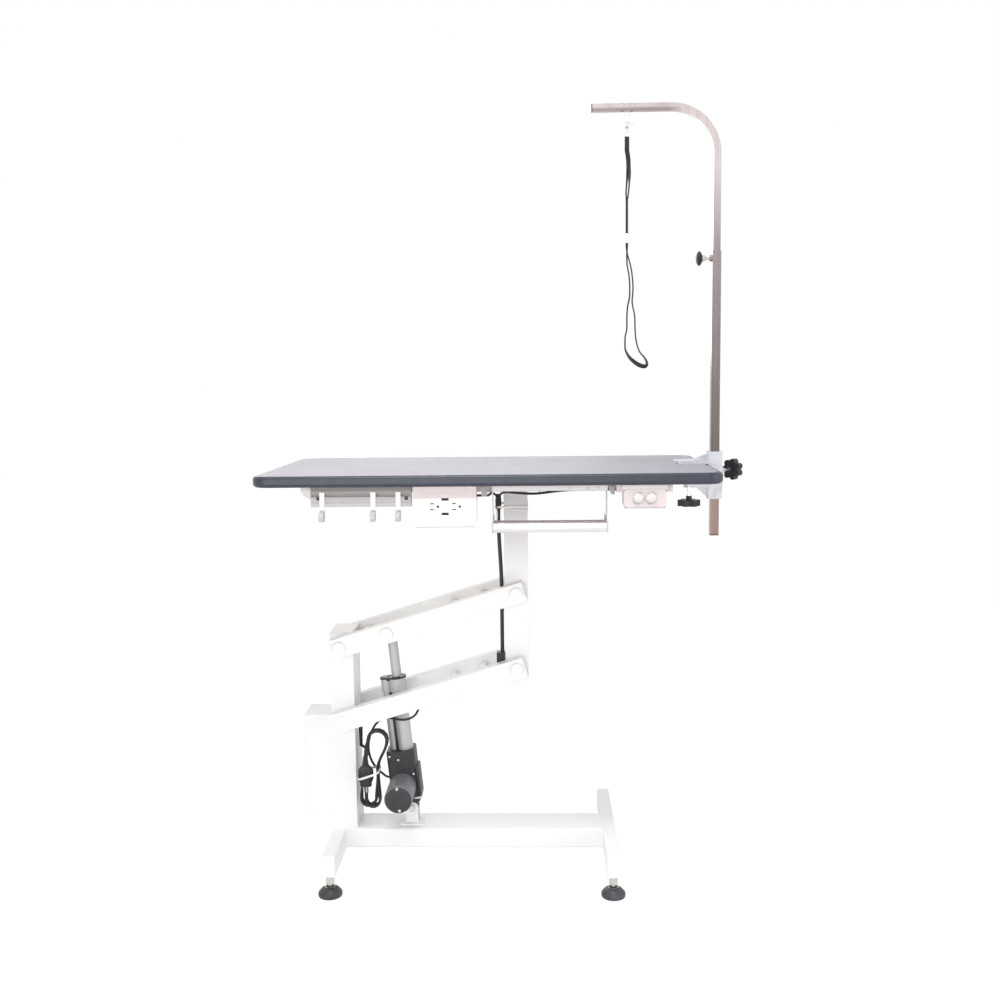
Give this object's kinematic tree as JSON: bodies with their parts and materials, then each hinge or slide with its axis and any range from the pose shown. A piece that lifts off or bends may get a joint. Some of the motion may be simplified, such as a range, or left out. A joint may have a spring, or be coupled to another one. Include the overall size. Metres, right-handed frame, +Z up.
{
  "type": "electric grooming table",
  "caption": "Electric grooming table: column lift on parallel arms with a linear actuator, rubber-topped board, outlets, hooks, tray, and a clamped post with a noose.",
  "frame": {"origin": "floor level, at the middle of the bounding box seen from above", "axes": "+X along the tabletop towards the post, +Y away from the front with the tray and buttons, +Z up"},
  "size_m": [1.2012, 0.6, 1.9517],
  "materials": {
    "white_paint": "semi-gloss powder coat",
    "white_plastic": "gloss",
    "zinc_steel": "zinc plated",
    "black_plastic": "satin",
    "dark_plastic": "fine texture",
    "anodised": "satin anodised",
    "cord_rubber": "satin",
    "board_wood": "plain",
    "mat_rubber": "fine raised texture",
    "trim_rubber": "satin",
    "stainless": "polished",
    "cast_silver": "silver paint on a casting",
    "bright_chrome": "polished",
    "webbing": "woven"
  },
  "bodies": {
    "base": {"crossbar": "white_paint", "left_leg": "white_paint", "right_leg": "white_paint", "tube_caps": "white_paint", "base_column": "white_paint", "actuator_bracket": "white_paint", "bracket_bolt": "zinc_steel", "control_box": "white_paint", "control_cover": "white_paint", "cord_gland": "black_plastic", "mains_cord": "cord_rubber", "mains_hank": "cord_rubber", "mains_plug": "cord_rubber"},
    "front_left_foot": {"foot_front_left": "black_plastic"},
    "front_right_foot": {"foot_front_right": "black_plastic"},
    "rear_left_foot": {"foot_rear_left": "black_plastic"},
    "rear_right_foot": {"foot_rear_right": "black_plastic"},
    "lower_arms": {"near_lower_arm": "white_paint", "far_lower_arm": "white_paint", "lower_arm_fittings": "white_paint", "lower_pins": "white_paint"},
    "upper_arms": {"near_upper_arm": "white_paint", "far_upper_arm": "white_paint", "upper_arm_fittings": "white_paint", "upper_pins": "white_paint"},
    "actuator": {"gear_housing": "dark_plastic", "motor": "dark_plastic", "outer_tube": "anodised", "actuator_collar": "black_plastic", "actuator_lead": "cord_rubber"},
    "actuator_screw": {"lead_screw": "zinc_steel"},
    "actuator_rod": {"push_rod": "anodised"},
    "table": {"table_column": "white_paint", "table_frame": "white_paint", "board": "board_wood", "table_mat": "mat_rubber", "edge_trim": "trim_rubber", "hook_rail": "anodised", "outlet_box": "white_paint", "outlet_plate": "white_plastic", "tray_hanger": "white_paint", "tool_tray": "stainless", "button_box": "white_paint", "column_cable": "cord_rubber", "cable_clamp": "black_plastic", "clamp_body": "cast_silver"},
    "left_hook": {"hook_left": "white_paint"},
    "middle_hook": {"hook_middle": "white_paint"},
    "right_hook": {"hook_right": "white_paint"},
    "up_button": {"button_up": "white_plastic"},
    "down_button": {"button_down": "white_plastic"},
    "clamp_star": {"star_knob": "black_plastic"},
    "clamp_hand_screw": {"clamp_screw": "black_plastic"},
    "post_tube": {"post": "stainless"},
    "post_thumb": {"thumb_knob": "black_plastic"},
    "top_arm": {"bent_arm": "stainless", "eye_bolt": "bright_chrome"},
    "snap": {"snap_hook": "bright_chrome"},
    "noose": {"noose_strap": "webbing"},
    "adjuster": {"noose_slider": "bright_chrome"}
  },
  "joints": [
    {"name": "lift", "type": "hinge", "parent": "base", "child": "lower_arms", "pos_m": [-0.43983, 0, 0.4062], "axis": [0, -1, 0], "range_deg": [-44.95, 5.05]},
    {"name": "upper_arms_pivot", "type": "hinge", "parent": "base", "child": "upper_arms", "pos_m": [-0.43983, 0, 0.6002], "axis": [0, -1, 0], "range_deg": [-44.95, 5.05]},
    {"name": "table_pivot", "type": "hinge", "parent": "lower_arms", "child": "table", "pos_m": [0.01214, 0, 0.54395], "axis": [0, -1, 0], "range_deg": [-5.05, 44.95]},
    {"name": "actuator_pivot", "type": "hinge", "parent": "base", "child": "actuator", "pos_m": [-0.26933, 0, 0.153], "axis": [0, -1, 0], "range_deg": [-0.5, 2]},
    {"name": "rod_slide", "type": "slide", "parent": "actuator", "child": "actuator_rod", "axis": [-0.1007, 0, 0.9949], "range_m": [-0.0975, 0.0125]},
    {"name": "screw_turn", "type": "hinge", "parent": "actuator", "child": "actuator_screw", "pos_m": [-0.26933, 0, 0.153], "axis": [-0.1007, 0, 0.9949], "range_deg": [-4400, 520]},
    {"name": "front_left_foot_screw", "type": "slide", "parent": "base", "child": "front_left_foot", "axis": [0, 0, -1], "range_m": [0, 0.015]},
    {"name": "front_right_foot_screw", "type": "slide", "parent": "base", "child": "front_right_foot", "axis": [0, 0, -1], "range_m": [0, 0.015]},
    {"name": "rear_left_foot_screw", "type": "slide", "parent": "base", "child": "rear_left_foot", "axis": [0, 0, -1], "range_m": [0, 0.015]},
    {"name": "rear_right_foot_screw", "type": "slide", "parent": "base", "child": "rear_right_foot", "axis": [0, 0, -1], "range_m": [0, 0.015]},
    {"name": "left_hook_slide", "type": "slide", "parent": "table", "child": "left_hook", "axis": [1, 0, 0], "range_m": [-0.015, 0.08]},
    {"name": "middle_hook_slide", "type": "slide", "parent": "table", "child": "middle_hook", "axis": [1, 0, 0], "range_m": [-0.025, 0.022]},
    {"name": "right_hook_slide", "type": "slide", "parent": "table", "child": "right_hook", "axis": [1, 0, 0], "range_m": [-0.022, 0.02]},
    {"name": "up_button_press", "type": "slide", "parent": "table", "child": "up_button", "axis": [0, 1, 0], "range_m": [0, 0.003], "stiffness_N_per_m": 300, "springref_m": -0.002},
    {"name": "down_button_press", "type": "slide", "parent": "table", "child": "down_button", "axis": [0, 1, 0], "range_m": [0, 0.003], "stiffness_N_per_m": 300, "springref_m": -0.002},
    {"name": "star_turn", "type": "hinge", "parent": "table", "child": "clamp_star", "pos_m": [0.51967, 0, 1.037], "axis": [0.7071, 0.7071, 0], "continuous": true},
    {"name": "clamp_turn", "type": "hinge", "parent": "table", "child": "clamp_hand_screw", "pos_m": [0.45566, 0, 1.011], "axis": [0, 0, 1], "continuous": true},
    {"name": "post_slide", "type": "slide", "parent": "table", "child": "post_tube", "axis": [0, 0, 1], "range_m": [-0.11, 0.11]},
    {"name": "thumb_turn", "type": "hinge", "parent": "post_tube", "child": "post_thumb", "pos_m": [0.49967, 0, 1.571], "axis": [-1, 0, 0], "continuous": true},
    {"name": "top_arm_slide", "type": "slide", "parent": "post_tube", "child": "top_arm", "axis": [0, 0, 1], "range_m": [-0.12, 0.19]},
    {"name": "snap_swing", "type": "hinge", "parent": "top_arm", "child": "snap", "pos_m": [0.29667, 0, 1.9133], "axis": [1, 0, 0], "range_deg": [-60, 60]},
    {"name": "noose_swivel", "type": "hinge", "parent": "snap", "child": "noose", "pos_m": [0.29667, 0, 1.8933], "axis": [0, 0, 1], "continuous": true},
    {"name": "adjuster_slide", "type": "slide", "parent": "noose", "child": "adjuster", "axis": [0, 0, 1], "range_m": [0, 0.075]}
  ],
  "couplings": [
    {"joint": "upper_arms_pivot", "follows": "lift", "ratio": 1},
    {"joint": "table_pivot", "follows": "lift", "ratio": -1},
    {"joint": "actuator_pivot", "follows": "lift", "ratio": -0.03908},
    {"joint": "rod_slide", "follows": "lift", "m_per_rad": 0.12236},
    {"joint": "screw_turn", "follows": "lift", "ratio": 96.101}
  ]
}
